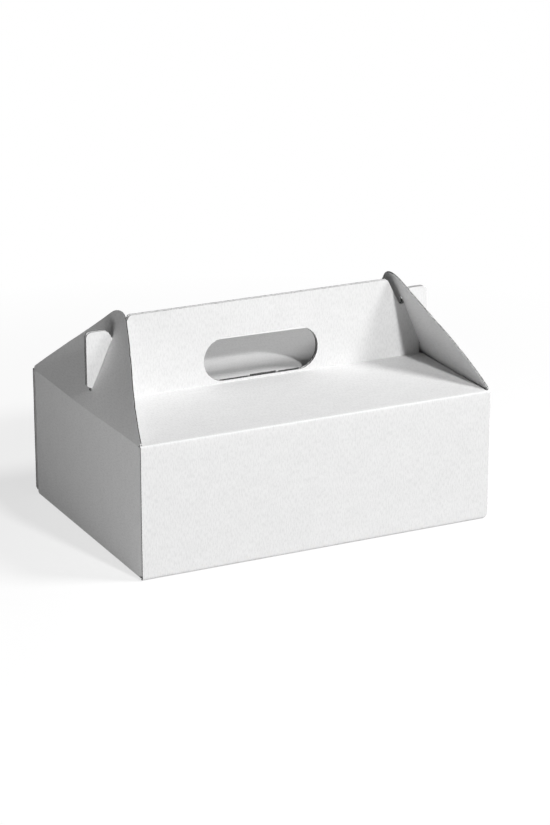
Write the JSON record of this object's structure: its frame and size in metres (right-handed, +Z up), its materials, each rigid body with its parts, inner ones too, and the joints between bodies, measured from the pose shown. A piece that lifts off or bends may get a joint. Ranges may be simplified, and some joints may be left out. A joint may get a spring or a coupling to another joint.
{
  "type": "carry tray box",
  "caption": "Corrugated board carry tray box: closed tray with a flat top, an upright two-ply handle with a hand hole, and a triangular gable flap hooked over each end of the handle.",
  "frame": {"origin": "middle of the base's underside, where the box stands", "axes": "+Z up, -Y towards the long front wall, +X along the length to the right, seen from the front"},
  "size_m": [0.396, 0.282, 0.2363],
  "materials": {
    "white_board": "uncoated white paper liner on E-flute corrugated board, matte, raw cut edges showing the flutes"
  },
  "bodies": {
    "carton": {"carton": "white_board"},
    "left_flap": {"left_gable_flap": "white_board"},
    "right_flap": {"right_gable_flap": "white_board"}
  },
  "joints": [
    {"name": "left_flap_crease", "type": "hinge", "parent": "carton", "child": "left_flap", "pos_m": [-0.198, 0, 0.139], "axis": [0, -1, 0], "range_deg": [0, 180]},
    {"name": "right_flap_crease", "type": "hinge", "parent": "carton", "child": "right_flap", "pos_m": [0.198, 0, 0.139], "axis": [0, 1, 0], "range_deg": [0, 180]}
  ]
}
